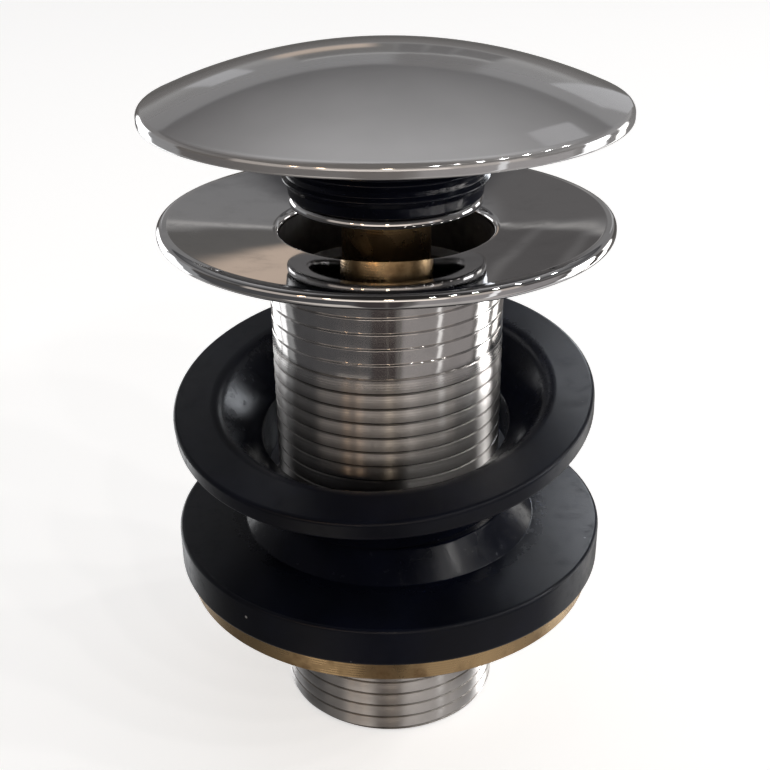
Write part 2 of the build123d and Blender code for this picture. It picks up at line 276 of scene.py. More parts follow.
class BodySizes(PropertyGroup):
    """Flange, mouth, tail and thread of the waste body."""

    segments: IntProperty(
        name="Segments", description="Faces round each turned piece", default=192, min=48
    )
    flange_radius: length("Flange radius", "Outer radius of the flange", body_high.x)
    rim_top: height("Rim top", "Top of the flange's rim", body_high.z)
    rim_round: length("Rim round", "Round on both edges of the rim", 0.00085)
    rim_land: length("Rim land", "Width of the rim outside the dished face", 0.0014)
    seat_radius: length("Seat radius", "Inner radius of the flat seat", 0.0271)
    neck_radius: length("Neck radius", "Radius where the flange's cone meets the neck", 0.018025)
    neck_depth: length("Neck depth", "Depth of the neck under the seat", 0.0028)
    mouth_radius: length("Mouth radius", "Radius of the mouth", 0.0149)
    mouth_drop: length("Mouth drop", "Depth of the mouth's edge under the rim", 0.0017)
    mouth_round: length("Mouth round", "Round on the mouth's edge", 0.001)
    well_depth: length("Well depth", "Depth of the wide part of the bore", 0.00756082)
    bore_radius: length("Bore radius", "Radius of the bore", 0.0139)
    thread_radius: length("Thread radius", "Outer radius of the thread", 0.016625)
    tail_end: height("Tail end", "Height of the tail's lower end", body_low.z)
    tail_chamfer: length("Tail chamfer", "Chamfer on the tail's lower end", 0.0008)
    thread_pitch: length("Thread pitch", "Rise of the thread in one turn", 0.002209)
    thread_depth: length("Thread depth", "Depth of the thread's groove", 0.0006)
    groove_share: FloatProperty(
        name="Groove", description="Share of the pitch that the groove takes", default=0.17,
        min=0.1, max=0.9, subtype="FACTOR",
    )
    spider_top: height("Spider top", "Top of the spider in the tail", -0.04066082)
    spider_height: length("Spider height", "Height of the spider", 0.0045)
    spider_hub: length("Spider hub", "Radius of the spider's hub", 0.0075)
    spider_hole: length("Spider hole", "Radius of the hole in the hub", 0.0036)
    arm_width: length("Arm width", "Width of each arm", 0.0032)


class PlugSizes(PropertyGroup):
    """Cap, seal, carrier, stem and spring of the plug."""

    cap_radius: length("Cap radius", "Outer radius of the cap", cap_high.x)
    cap_top: height("Cap top", "Top of the dome", cap_high.z)
    cap_rise: length("Cap rise", "Height of the dome over its edge", 0.0071)
    cap_rim: length("Cap rim", "Height of the cap's upright edge", 0.0017)
    cap_edge: length("Cap edge", "Round on the cap's upper edge", 0.0011)
    cap_round: length("Cap round", "Round on the cap's lower edge", 0.0004)
    cap_wall: length("Cap wall", "Thickness of the dome", 0.0016)
    cap_lip: length("Cap lip", "Width of the lip under the edge", 0.002)
    rib_width: length("Rib width", "Thickness of the ring that backs the seal", 0.0022)
    boss_radius: length("Boss radius", "Radius of the boss for the stem", 0.0065)
    boss_depth: length("Boss depth", "Depth of the hole in the boss", 0.006)
    seal_lip: length("Seal lip", "Height of the seal's broad lip", 0.0016)
    seal_bead: length("Seal bead", "Height of each wiping bead over the sleeve", 0.00075)
    seal_bore: length("Seal bore", "Inner radius of the seal", 0.0115)
    carrier_rim: length("Carrier rim", "Height of the carrier's rim", 0.00135)
    carrier_cup: length("Carrier cup", "Outer radius of the carrier's cup", 0.0114)
    carrier_bore: length("Carrier bore", "Inner radius of the carrier's cup", 0.0104)
    carrier_web: length("Carrier web", "Thickness of the web that the stem clamps", 0.0016)
    stud_radius: length("Stud radius", "Radius of the stem's stud", 0.004)
    stem_head: length("Stem head", "Solid length over the stem's bore", 0.003)
    stem_bore: length("Stem bore", "Radius of the stem's bore", 0.00405)
    pocket_radius: length("Pocket radius", "Radius of the pocket at the stem's foot", 0.0053)
    pocket_depth: length("Pocket depth", "Depth of the pocket at the stem's foot", 0.0057)
    spring_turns: IntProperty(
        name="Spring turns", description="Turns of the return spring", default=8, min=2
    )
    spring_wire: length("Spring wire", "Thickness of the spring's wire", 0.0008)


class WasherSizes(PropertyGroup):
    """Backnut and the two rubber washers."""

    lower_rim: length("Lower rim", "Thickness of the lower washer's rim", 0.0059)
    lower_bore: length("Lower bore", "Inner radius of the lower washer", 0.016975)
    lower_hub_tip: length("Lower hub tip", "Radius of the lower washer's hub at its top", 0.0186)
    lower_hub_base: length("Lower hub base", "Radius of that hub where it meets the rim", 0.0221)
    lower_recess: length("Lower recess", "Radius of the recess under the lower washer", 0.0235)
    lower_recess_depth: length("Lower recess depth", "Depth of that recess", 0.0032)
    upper_radius: length("Upper radius", "Outer radius of the upper washer", 0.0309)
    upper_rim: length("Upper rim", "Thickness of the upper washer's rim", 0.003)
    upper_depth: length("Upper depth", "Whole depth of the upper washer", 0.014)
    upper_bore: length("Upper bore", "Inner radius of the upper washer", 0.0185)
    upper_hub_tip: length("Upper hub tip", "Radius of the upper washer's hub at its foot", 0.0205)
    upper_hub_base: length("Upper hub base", "Radius of that hub under the rim", 0.0225)
    upper_mouth: length("Upper mouth", "Radius of the funnel's mouth", 0.0242)
    upper_funnel: length("Upper funnel", "Depth of the funnel", 0.0062)
    upper_place: spot(
        "Upper place", "Centre of the upper washer's top face", (-0.0008, -0.0009, -0.02408007)
    )
    upper_lean: angle("Lean", "Lean of the upper washer on the lower one", 9.5)
    upper_heading: angle("Heading", "Direction in which the upper washer leans", 250)
    washer_round: length("Washer round", "Round on the washers' edges", 0.0006)
    nut_flange: length("Nut flange", "Thickness of the backnut's round flange", 0.0035)
    nut_flats: length("Nut flats", "Width of the backnut's hexagon over its flats", 0.044)
    nut_bore: length("Nut bore", "Radius of the backnut's bore", 0.016675)
    nut_edge: length("Nut edge", "Chamfer on the backnut's flange", 0.0005)


class FinishColours(PropertyGroup):
    """Colours of the finishes."""

    plate: colour("Plate", "Polished plating on the flange and carrier", (0.58, 0.57, 0.57))
    thread: colour("Thread", "Plating on the thread, a little warmer", (0.56, 0.54, 0.525))
    cap: colour("Cap", "Grey plating on the cap", (0.55, 0.55, 0.56))
    rubber: colour("Rubber", "Black rubber", (0.0020, 0.0026, 0.0058))
    dust: colour("Dust", "Pale specks on the rubber", (0.30, 0.31, 0.33))
    brass: colour("Brass", "Turned brass", (0.46, 0.32, 0.17))
    tarnish: colour("Tarnish", "Dull patches on the brass", (0.20, 0.125, 0.062))
    steel: colour("Steel", "Plain steel", (0.46, 0.46, 0.47))
    floor: colour("Floor", "Pale floor", (0.86, 0.86, 0.86))


class StageSettings(PropertyGroup):
    """Camera and floor."""

    camera_place: spot("Camera", "Place of the camera", (0.0, -0.160, 0.0526))
    camera_pitch: angle("Pitch", "Angle at which the camera looks down", 26.34)
    camera_roll: angle("Roll", "Turn of the camera about its line of sight", -0.55)
    camera_lens: FloatProperty(
        name="Lens", description="Focal length on a 36 mm sensor, in millimetres", default=55.98
    )
    camera_shift: FloatVectorProperty(
        name="Shift", description="Shift of the frame, in shares of its width",
        default=(-3 / 770, 12.5 / 770), size=2,
    )
    floor_glow: FloatProperty(
        name="Floor glow", description="Light that the floor gives of itself", default=0.68, min=0.0
    )


class Millimetres:
    """Reads a property group's lengths in millimetres."""

    def __init__(self, group):
        self.group = group

    def __getattr__(self, name):
        return getattr(self.group, name) / MM


class Wire:
    """A shader socket that takes part in sums; each sum adds a Math node to its graph."""

    def __init__(self, graph, socket):
        self.graph = graph
        self.socket = socket

    def other(self, name):
        """Another output of the same node."""
        return Wire(self.graph, self.socket.node.outputs[name])

    def __add__(self, value):
        return self.graph.sum("ADD", self, value)

    def __radd__(self, value):
        return self.graph.sum("ADD", value, self)

    def __sub__(self, value):
        return self.graph.sum("SUBTRACT", self, value)

    def __rsub__(self, value):
        return self.graph.sum("SUBTRACT", value, self)

    def __mul__(self, value):
        return self.graph.sum("MULTIPLY", self, value)

    def __rmul__(self, value):
        return self.graph.sum("MULTIPLY", value, self)

    def __truediv__(self, value):
        return self.graph.sum("DIVIDE", self, value)

    def __pow__(self, value):
        return self.graph.sum("POWER", self, value)


class Graph:
    """A node tree that is written as expressions on wires."""

    def __init__(self, tree):
        self.tree = tree
        tree.nodes.clear()

    def node(self, kind, settings=None, sockets=None, output=0):
        """Adds a node: its settings first, then the values or wires of its sockets."""
        made = self.tree.nodes.new(kind)
        for name, value in (settings or {}).items():
            if name == "stops":
                self.fill_ramp(made.color_ramp.elements, value)
            else:
                setattr(made, name, value)
        for name, value in (sockets or {}).items():
            if isinstance(value, Wire):
                self.tree.links.new(value.socket, made.inputs[name])
            else:
                made.inputs[name].default_value = value
        return Wire(self, made.outputs[output])

    def fill_ramp(self, elements, stops):
        """Gives a colour ramp its stops, each a place and a grey or a colour."""
        while len(elements) < len(stops):
            elements.new(1.0)
        for element, (place, tone) in zip(elements, stops):
            element.position = place
            element.color = solid(tone)

    def sum(self, operation, first, second=0.0):
        return self.node("ShaderNodeMath", {"operation": operation}, {0: first, 1: second})

    def place(self):
        """Points of the surface in the frame of the solids, in metres."""
        return self.node("ShaderNodeTexCoord", output="Object")

    def parts(self, vector):
        """The three parts of a vector."""
        x = self.node("ShaderNodeSeparateXYZ", None, {0: vector})
        return x, x.other("Y"), x.other("Z")

    def reach(self, vector):
        """A point's distance from the Z axis."""
        x, y = self.parts(vector)[:2]
        return (x * x + y * y) ** 0.5

    def noise(self, vector, scale, detail=3.0, rough=0.5):
        sockets = {"Vector": vector, "Scale": scale, "Detail": detail, "Roughness": rough}
        return self.node("ShaderNodeTexNoise", None, sockets)

    def rise(self, value, start, end):
        """0 below start and 1 above end, with a soft step between."""
        sockets = {"Value": value, "From Min": start, "From Max": end}
        return self.node("ShaderNodeMapRange", {"interpolation_type": "SMOOTHSTEP"}, sockets)

    def band(self, value, start, end, soft):
        """1 between start and end, and 0 outside, with soft edges."""
        inside = self.rise(value, start - soft, start + soft)
        return inside * (1 - self.rise(value, end - soft, end + soft))

    def blend(self, factor, first, second):
        """A mix of two colours."""
        sockets = {0: factor, 6: solid(first), 7: solid(second)}
        return self.node("ShaderNodeMix", {"data_type": "RGBA"}, sockets, 2)

    def bump(self, relief, depth, strength=1.0):
        sockets = {"Height": relief, "Distance": depth, "Strength": strength}
        return self.node("ShaderNodeBump", None, sockets)

    def surface(self, sockets):
        """The finished surface."""
        shader = self.node("ShaderNodeBsdfPrincipled", None, sockets)
        self.node_end("ShaderNodeOutputMaterial", shader)

    def node_end(self, kind, shader):
        end = self.tree.nodes.new(kind)
        self.tree.links.new(shader.socket, end.inputs["Surface"])


def solid(tone):
    """A grey or a colour with full alpha; a wire stays as it is."""
    if isinstance(tone, Wire):
        return tone
    if isinstance(tone, (int, float)):
        return (tone, tone, tone, 1.0)
    return (*tone[:3], 1.0)


def scaled(tone, share):
    """A colour made lighter or darker."""
    return tuple(part * share for part in tone[:3])


def paint_plate(graph, colours):
    """Polished plating: clear mirror with faint casting ripple, smears and fine wiping marks."""
    place = graph.place()
    smear = graph.noise(place, 160.0, 4.0, 0.6)
    wipe = graph.noise(place, 2400.0, 2.0)
    ripple = graph.noise(place, 95.0, 1.0)
    dull = scaled(colours.plate, 0.86)
    graph.surface({
        "Base Color": graph.blend(graph.rise(smear, 0.45, 0.75), colours.plate, dull),
        "Metallic": 1.0,
        "Roughness": 0.03 + 0.07 * graph.rise(smear, 0.5, 0.8) + 0.02 * wipe,
        "Normal": graph.bump(ripple, 0.00005, 0.5),
    })


def paint_thread(graph, colours):
    """Plated thread: smooth near the flange, then fine turning lines, and painted shade that darkens
    the grooves nearly to black.
    """
    place = graph.place()
    x, y, z = graph.parts(place)
    sizes = bpy.context.scene.waste_body
    turn = graph.sum("ARCTAN2", y, x)
    along = (z / sizes.thread_pitch - turn / FULL_TURN) * FULL_TURN
    lines = graph.sum("SINE", along * 6.0 + 0.5 * graph.noise(place, 160.0, 2.0))
    smear = graph.noise(place, 210.0, 4.0, 0.6)
    root = sizes.thread_radius - sizes.thread_depth
    crest = graph.rise(graph.reach(place), root + 0.00005, sizes.thread_radius - 0.00015)
    groove = 1 - crest
    bright = graph.blend(graph.rise(smear, 0.4, 0.7), colours.thread, scaled(colours.thread, 0.88))
    tooled = 1 - graph.rise(z, TOOLED_TOP - TOOLED_FADE, TOOLED_TOP)
    worn = 0.04 * graph.rise(smear, 0.45, 0.8)
    graph.surface({
        # Painted shade: the grooves' colour is dimmed nearly to black
        "Base Color": graph.blend(groove * 0.95, bright, scaled(colours.thread, 0.03)),
        "Metallic": 1.0,
        "Roughness": 0.11 + 0.18 * tooled + worn + 0.12 * groove,
        "Anisotropic": 1.0,
        "Anisotropic Rotation": 0.25,
        "Normal": graph.bump(lines * tooled, 0.000004),
    })


def paint_bore(graph, colours):
    """Plating inside the bore, duller and with stains, and with painted shade that darkens it well
    below the flange's.
    """
    place = graph.place()
    stain = graph.noise(place, 240.0, 5.0, 0.6)
    # Painted shade: both tones darken the bore's plating well below the flange's; random stains
    # choose between them
    thin, dull = scaled(colours.plate, 0.62), scaled(colours.plate, 0.36)
    graph.surface({
        "Base Color": graph.blend(graph.rise(stain, 0.4, 0.7), thin, dull),
        "Metallic": 1.0,
        "Roughness": 0.28 + 0.18 * stain,
        "Normal": graph.bump(graph.noise(place, 1500.0, 3.0), 0.00003, 0.4),
    })


def paint_cap(graph, colours):
    """Grey plating on the cap: a clear mirror over a soft grey ground, with faint smears."""
    place = graph.place()
    smear = graph.noise(place, 70.0, 3.0, 0.55)
    wipe = graph.noise(place, 1800.0, 2.0)
    dull = scaled(colours.cap, 0.92)
    graph.surface({
        "Base Color": graph.blend(graph.rise(smear, 0.35, 0.7), colours.cap, dull),
        "Metallic": 0.62,
        "Roughness": 0.05 + 0.05 * graph.rise(smear, 0.5, 0.8) + 0.02 * wipe,
        "Normal": graph.bump(graph.noise(place, 60.0, 1.0), 0.00004, 0.25),
    })


def paint_rubber(graph, colours):
    """Moulded black rubber: satin with a cool bloom, fine grain, scuffs and a few pale specks."""
    place = graph.place()
    bloom = graph.noise(place, 75.0, 4.0, 0.6)
    scuff = graph.noise(place, 520.0, 4.0, 0.65)
    grain = graph.noise(place, 5200.0, 2.0)
    cells = {"Vector": place, "Scale": 240.0}
    speck = graph.node("ShaderNodeTexVoronoi", {"feature": "F1"}, cells, "Distance")
    chosen = graph.rise(graph.noise(place, 95.0, 1.0), 0.60, 0.66)
    specks = (1 - graph.rise(speck, 0.035, 0.065)) * chosen
    flat = graph.rise(graph.reach(place), 0.0205, 0.0275)
    pale = scaled(colours.rubber, 1.9)
    ground = graph.blend(graph.rise(bloom, 0.35, 0.75), colours.rubber, pale)
    worn = 0.12 * graph.rise(scuff, 0.45, 0.75)
    graph.surface({
        "Base Color": graph.blend(specks, ground, colours.dust),
        "Roughness": 0.14 + 0.16 * flat + 0.08 * bloom + worn,
        "Specular IOR Level": 0.14,
        "Normal": graph.bump(grain + 0.6 * scuff, 0.00003, 0.25),
    })


def paint_brass(graph, colours):
    """Turned brass, unplated: fine rings from the tool and dull brown patches."""
    place = graph.place()
    across = graph.parts(place)[2] + graph.reach(place)
    rings = graph.sum("SINE", across * 16000.0 + 2.0 * graph.noise(place, 300.0, 2.0))
    patch = graph.noise(place, 190.0, 5.0, 0.62)
    graph.surface({
        "Base Color": graph.blend(graph.rise(patch, 0.48, 0.75), colours.brass, colours.tarnish),
        "Metallic": 1.0,
        "Roughness": 0.24 + 0.22 * graph.rise(patch, 0.4, 0.75),
        "Normal": graph.bump(rings, 0.000006, 0.6),
    })


def paint_steel(graph, colours):
    """Plain drawn steel."""
    streak = graph.noise(graph.place(), 900.0, 4.0, 0.6)
    dull = scaled(colours.steel, 0.7)
    graph.surface({
        "Base Color": graph.blend(graph.rise(streak, 0.4, 0.7), colours.steel, dull),
        "Metallic": 1.0,
        "Roughness": 0.22 + 0.16 * streak,
        "Normal": graph.bump(streak, 0.00001, 0.4),
    })


def paint_floor(graph, colours):
    """Pale floor that gives a little light of its own."""
    tone = graph.noise(graph.place(), 3.0, 2.0)
    graph.surface({
        "Base Color": graph.blend(tone, colours.floor, scaled(colours.floor, 0.98)),
        "Roughness": 0.9,
        "Specular IOR Level": 0.0,
        "Emission Color": solid(colours.floor),
        "Emission Strength": bpy.context.scene.waste_stage.floor_glow,
    })


FINISHES = {
    "polished_plate": paint_plate,
    "plated_thread": paint_thread,
    "dull_bore": paint_bore,
    "grey_plate": paint_cap,
    "moulded_rubber": paint_rubber,
    "turned_brass": paint_brass,
    "plain_steel": paint_steel,
    "pale_floor": paint_floor,
}


def finish(name):
    """The material of that name, painted the first time it is asked for."""
    found = bpy.data.materials.get(name)
    if found:
        return found
    made = bpy.data.materials.new(name)
    made.use_nodes = True
    FINISHES[name](Graph(made.node_tree), bpy.context.scene.waste_colours)
    return made


def polar(reach, turn):
    return reach * math.cos(turn), reach * math.sin(turn)


def ramp(value):
    """A share held between 0 and 1."""
    return min(1.0, max(0.0, value))


def rounded(corners, closed=True):
    """Section points through corners of (radius, height, round), each round drawn as an arc."""
    points = []
    for index, (radius, level, fillet) in enumerate(corners):
        here = Vector((radius, level))
        inner = closed or 0 < index < len(corners) - 1
        if not fillet or not inner:
            points.append(here)
            continue
        back = (Vector(corners[index - 1][:2]) - here).normalized()
        ahead = (Vector(corners[(index + 1) % len(corners)][:2]) - here).normalized()
        half = back.angle(ahead) / 2
        reach = fillet / math.tan(half)
        centre = here + (back + ahead).normalized() * (fillet / math.sin(half))
        start = here + back * reach
        end = here + ahead * reach
        sweep = math.pi - 2 * half
        points.append(start + back * HOLD)
        for step in range(ARC_STEPS + 1):
            share = step / ARC_STEPS
            spoke = (start - centre) * math.sin((1 - share) * sweep)
            spoke += (end - centre) * math.sin(share * sweep)
            points.append(centre + spoke / math.sin(sweep))
        points.append(end + ahead * HOLD)
    return [tuple(point) for point in points]


def banded(skin, ring, following, steps):
    """Adds the faces between two rings; a ring of one point is a pole."""
    for step in range(steps):
        ahead = (step + 1) % steps
        loop = [ring[step % len(ring)], ring[ahead % len(ring)]]
        loop += [following[ahead % len(following)], following[step % len(following)]]
        skin.faces.new(list(dict.fromkeys(loop)))


def turned(outline, segments, closed=True):
    """A skin turned round Z from section points; a closed outline gives a closed skin."""
    skin = bmesh.new()
    turns = [FULL_TURN * step / segments for step in range(segments)]
    rings = []
    for radius, level in outline:
        if radius < POLE:
            rings.append([skin.verts.new((0, 0, level))])
        else:
            rings.append([skin.verts.new((*polar(radius, turn), level)) for turn in turns])
    pairs = list(zip(rings, rings[1:]))
    if closed:
        pairs.append((rings[-1], rings[0]))
    for ring, following in pairs:
        if len(ring) > 1 or len(following) > 1:
            banded(skin, ring, following, segments)
    bmesh.ops.recalc_face_normals(skin, faces=skin.faces)
    return skin


def lathed(corners, closed=True, share=1):
    """A skin turned from rounded corners, with the usual segments or a share of them."""
    segments = bpy.context.scene.waste_body.segments // share
    return turned(rounded(corners, closed), segments, closed)


def threaded(sizes, groove_share, segments, top):
    """The tail's threaded skin, from a height under the neck down to the tail's end."""
    crest = 1 - groove_share
    flank = groove_share * FLANK_SHARE
    # Rows of one turn: share of the pitch, groove's depth, shoulder's fall and crown's fall
    section = [(0.0, 0.0, 1.0, 1.0), (SHOULDER / 2, 0.0, 0.4, 0.9)]
    for row in range(CREST_ROWS + 1):
        across = row / CREST_ROWS
        section.append((SHOULDER + (crest - SHOULDER) * across, 0.0, 0.0, (2 * across - 1) ** 2))
    section += [
        (crest + flank, FLANK_DEPTH, 0.0, 1.0),
        (crest + groove_share / 2, 1.0, 0.5, 1.0),
        (1 - flank, FLANK_DEPTH, 1.0, 1.0),
    ]
    per_turn = len(section)
    pitch = sizes.thread_pitch
    low = sizes.tail_end
    turns = int((top - low) / pitch) + 2 * SPARE_TURNS
    skin = bmesh.new()
    rows = []
    for row in range(turns * per_turn):
        share, depth, fall, swell = section[row % per_turn]
        start = top + SPARE_TURNS * pitch - (row // per_turn + share) * pitch
        line = []
        for step in range(segments):
            level = start + pitch * step / segments
            tooled = ramp((TOOLED_TOP / MM - level) / (TOOLED_FADE / MM))
            begun = ramp((top - level) / pitch)
            deep = SMOOTH_DEPTH + (1 - SMOOTH_DEPTH) * tooled
            round_share = SMOOTH_CROWN + (1 - SMOOTH_CROWN) * tooled
            cut = max(
                depth * sizes.thread_depth * deep * begun,
                fall * SHOULDER_DROP * (1 - tooled) * begun,
                swell * CROWN * round_share * begun,
                sizes.tail_chamfer - (level - low),
            )
            spoke = polar(sizes.thread_radius - cut, FULL_TURN * step / segments)
            line.append(skin.verts.new((*spoke, level)))
        rows.append(line)
    for row in range(per_turn, len(rows) - 1):
        for step in range(segments):
            last = step == segments - 1
            upper = rows[row - per_turn][0] if last else rows[row][step + 1]
            lower = rows[row + 1 - per_turn][0] if last else rows[row + 1][step + 1]
            skin.faces.new((rows[row][step], rows[row + 1][step], lower, upper))
    for level, side in ((top, 1), (low, -1)):
        bmesh.ops.bisect_plane(
            skin,
            geom=[*skin.verts, *skin.edges, *skin.faces],
            plane_co=(0, 0, level),
            plane_no=(0, 0, side),
            clear_outer=True,
        )
    return skin


def mesh_of(name, skin):
    """A smooth mesh from a skin, which is used up."""
    for face in skin.faces:
        face.smooth = True
    mesh = bpy.data.meshes.new(name)
    skin.to_mesh(mesh)
    skin.free()
    return mesh


def placed(name, data):
    """An object in the scene."""
    made = bpy.data.objects.new(name, data)
    bpy.context.scene.collection.objects.link(made)
    return made


def faced(skin, index):
    """A skin whose faces all take that one of its piece's materials."""
    for face in skin.faces:
        face.material_index = index
    return skin


def added(skin, other):
    """Adds another skin's faces to a skin."""
    mesh = mesh_of("added", other)
    skin.from_mesh(mesh)
    bpy.data.meshes.remove(mesh)


def stitched(skin, low, high):
    """Closes the gap between the open edges that lie between two heights."""
    edges = [
        edge
        for edge in skin.edges
        if edge.is_boundary and all(low <= vertex.co.z <= high for vertex in edge.verts)
    ]
    bmesh.ops.bridge_loops(skin, edges=edges)


def prism(outline, low, high, edge):
    """An upright block on a flat outline, with its top and bottom edges eased."""
    block = bmesh.new()
    foot = block.faces.new([block.verts.new((x, y, low)) for x, y in outline])
    grown = bmesh.ops.extrude_face_region(block, geom=[foot], use_keep_orig=True)["geom"]
    tops = [item for item in grown if isinstance(item, bmesh.types.BMVert)]
    bmesh.ops.translate(block, verts=tops, vec=(0, 0, high - low))
    bmesh.ops.recalc_face_normals(block, faces=block.faces)
    flat = [line for line in block.edges if line.verts[0].co.z == line.verts[1].co.z]
    bmesh.ops.bevel(
        block, geom=flat, offset=edge, segments=3, profile=0.5, affect="EDGES", clamp_overlap=True
    )
    return block


def drill(radius, low, high):
    """A round bit that runs past both heights."""
    outline = [polar(radius, FULL_TURN * step / DRILL_STEPS) for step in range(DRILL_STEPS)]
    return prism(outline, low - OVERCUT, high + OVERCUT, SLIGHT_EASE)


def star(hub, reach, width, arms, first_turn):
    """Outline of a hub with straight arms."""
    points = []
    root = math.asin(width / 2 / hub)
    spoke = math.hypot(reach, width / 2)
    tip = math.atan2(width / 2, reach)
    pace = FULL_TURN / arms
    gap = pace - 2 * root
    for arm in range(arms):
        turn = first_turn + arm * pace
        points += [polar(hub, turn - root), polar(spoke, turn - tip)]
        points += [polar(spoke, turn + tip), polar(hub, turn + root)]
        for step in range(1, ARM_GAP_STEPS):
            points.append(polar(hub, turn + root + gap * step / ARM_GAP_STEPS))
    return points


def hexagon(flats):
    """Outline of a hexagon of that width over its flats, with flats facing along Y."""
    return [polar(flats / math.sqrt(3), FULL_TURN * corner / 6) for corner in range(6)]


def joined(base, tool, operation):
    """Two closed skins made into one: tool added to base, or cut from it."""
    holders = [placed(name, mesh_of(name, skin)) for name, skin in (("base", base), ("tool", tool))]
    cutter = holders[0].modifiers.new("join", "BOOLEAN")
    cutter.solver = "MANIFOLD"
    cutter.operation = operation
    cutter.object = holders[1]
    depsgraph = bpy.context.evaluated_depsgraph_get()
    result = bpy.data.meshes.new_from_object(holders[0].evaluated_get(depsgraph))
    skin = bmesh.new()
    skin.from_mesh(result)
    bpy.data.meshes.remove(result)
    for holder in holders:
        mesh = holder.data
        bpy.data.objects.remove(holder)
        bpy.data.meshes.remove(mesh)
    return skin


def piece(name, skin, body, node, slot, *finishes):
    """Places a skin drawn in millimetres as a piece that stands for a node and rides on its body."""
    skin.transform(Matrix.Scale(MM, 4))
    mesh = mesh_of(name, skin)
    mesh.set_sharp_from_angle(angle=SHARP_ANGLE)
    for material in finishes:
        mesh.materials.append(finish(material))
    made = placed(name, mesh)
    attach(made, body)
    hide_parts(node)
    return made


class WASTE_OT_body(Operator):
    """Waste body: dished flange, mouth, bore with its spider, and the threaded tail"""

    bl_idname = "waste.body"
    bl_label = "Waste body"

    def execute(self, context):
        group = context.scene.waste_body
        size = Millimetres(group)
        mouth = size.rim_top - size.mouth_drop
        neck_foot = -size.neck_depth - (size.neck_radius - size.thread_radius)
        step_foot = -size.well_depth - (size.mouth_radius - size.bore_radius)
        mid_wall = (size.bore_radius + size.thread_radius) / 2
        section = [
            (size.thread_radius, neck_foot, 0),
            (size.neck_radius, -size.neck_depth, EASE),
            (size.seat_radius, 0, FULL_EASE),
            (size.flange_radius, 0, size.rim_round),
            (size.flange_radius, size.rim_top, size.rim_round),
            (size.flange_radius - size.rim_land, size.rim_top, DISH_ROUND),
            (size.mouth_radius, mouth, size.mouth_round),
            (size.mouth_radius, -size.well_depth, FINE_EASE),
            (size.bore_radius, step_foot, FINE_EASE),
            (size.bore_radius, size.tail_end, EASE),
            (mid_wall, size.tail_end, 0),
        ]
        skin = lathed(section, closed=False)
        for face in skin.faces:
            centre = face.calc_center_median()
            inside = math.hypot(centre.x, centre.y) < size.mouth_radius + HOLD
            if inside and centre.z < mouth - size.mouth_round:
                face.material_index = BORE_FACES
        thread_top = neck_foot - THREAD_START
        thread = threaded(size, group.groove_share, group.segments, thread_top)
        added(skin, faced(thread, THREAD_FACES))
        stitched(skin, thread_top - HOLD, neck_foot + HOLD)
        stitched(skin, size.tail_end - HOLD, size.tail_end + HOLD)
        bmesh.ops.recalc_face_normals(skin, faces=skin.faces)
        outline = star(size.spider_hub, mid_wall, size.arm_width, SPIDER_ARMS, math.pi / 2)
        foot = size.spider_top - size.spider_height
        spider = prism(outline, foot, size.spider_top, SPIDER_EDGE)
        skin = joined(skin, faced(spider, BORE_FACES), "UNION")
        hole = drill(size.spider_hole, foot, size.spider_top)
        skin = joined(skin, faced(hole, BORE_FACES), "DIFFERENCE")
        finishes = ("polished_plate", "plated_thread", "dull_bore")
        piece("threaded_waste_body", skin, "waste", "waste_body", "bright_plate", *finishes)
        return {"FINISHED"}


class WASTE_OT_cap(Operator):
    """Plug cap: polished dome with its ring and boss underneath"""

    bl_idname = "waste.cap"
    bl_label = "Plug cap"

    def execute(self, context):
        size = Millimetres(context.scene.waste_plug)
        seal_top = seal_high.z / MM
        rib_outer = carrier_high.x / MM
        rib_inner = rib_outer - size.rib_width
        edge_level = size.cap_top - size.cap_rise
        dome = (size.cap_radius**2 + size.cap_rise**2) / (2 * size.cap_rise)
        centre = size.cap_top - dome
        brim_start = size.cap_radius - DOME_BREAK
        lip = size.cap_radius - size.cap_lip
        under = size.cap_wall
        hole = size.stud_radius + SEAT_FIT
        ceiling = seal_top + size.boss_depth

        def over(radius, depth=0.0):
            return centre + math.sqrt((dome - depth) ** 2 - radius**2)

        def arc(start, end, depth, steps):
            spots = (start + (end - start) * step / steps for step in range(steps + 1))
            return [(spot, over(spot, depth)) for spot in spots]

        brim = [
            (brim_start, over(brim_start), 0),
            (size.cap_radius, edge_level, size.cap_edge),
            (size.cap_radius, edge_level - size.cap_rim, size.cap_round),
            (lip, edge_level - size.cap_rim, EASE),
            (lip, over(lip, under), 0),
        ]
        section = arc(0, brim_start, 0, DOME_STEPS)[:-1] + rounded(brim, closed=False)[:-1]
        section += arc(lip, rib_outer, under, DOME_STEPS // 2)
        section += [(rib_outer, seal_top), (rib_inner, seal_top)]
        section += arc(rib_inner, size.boss_radius, under, RIB_STEPS)
        section += [(size.boss_radius, seal_top), (hole, seal_top), (hole, ceiling), (0, ceiling)]
        skin = turned(section, context.scene.waste_body.segments, closed=False)
        piece("domed_plug_cap", skin, "plug", "plug_cap", "cap_plate", "grey_plate")
        return {"FINISHED"}


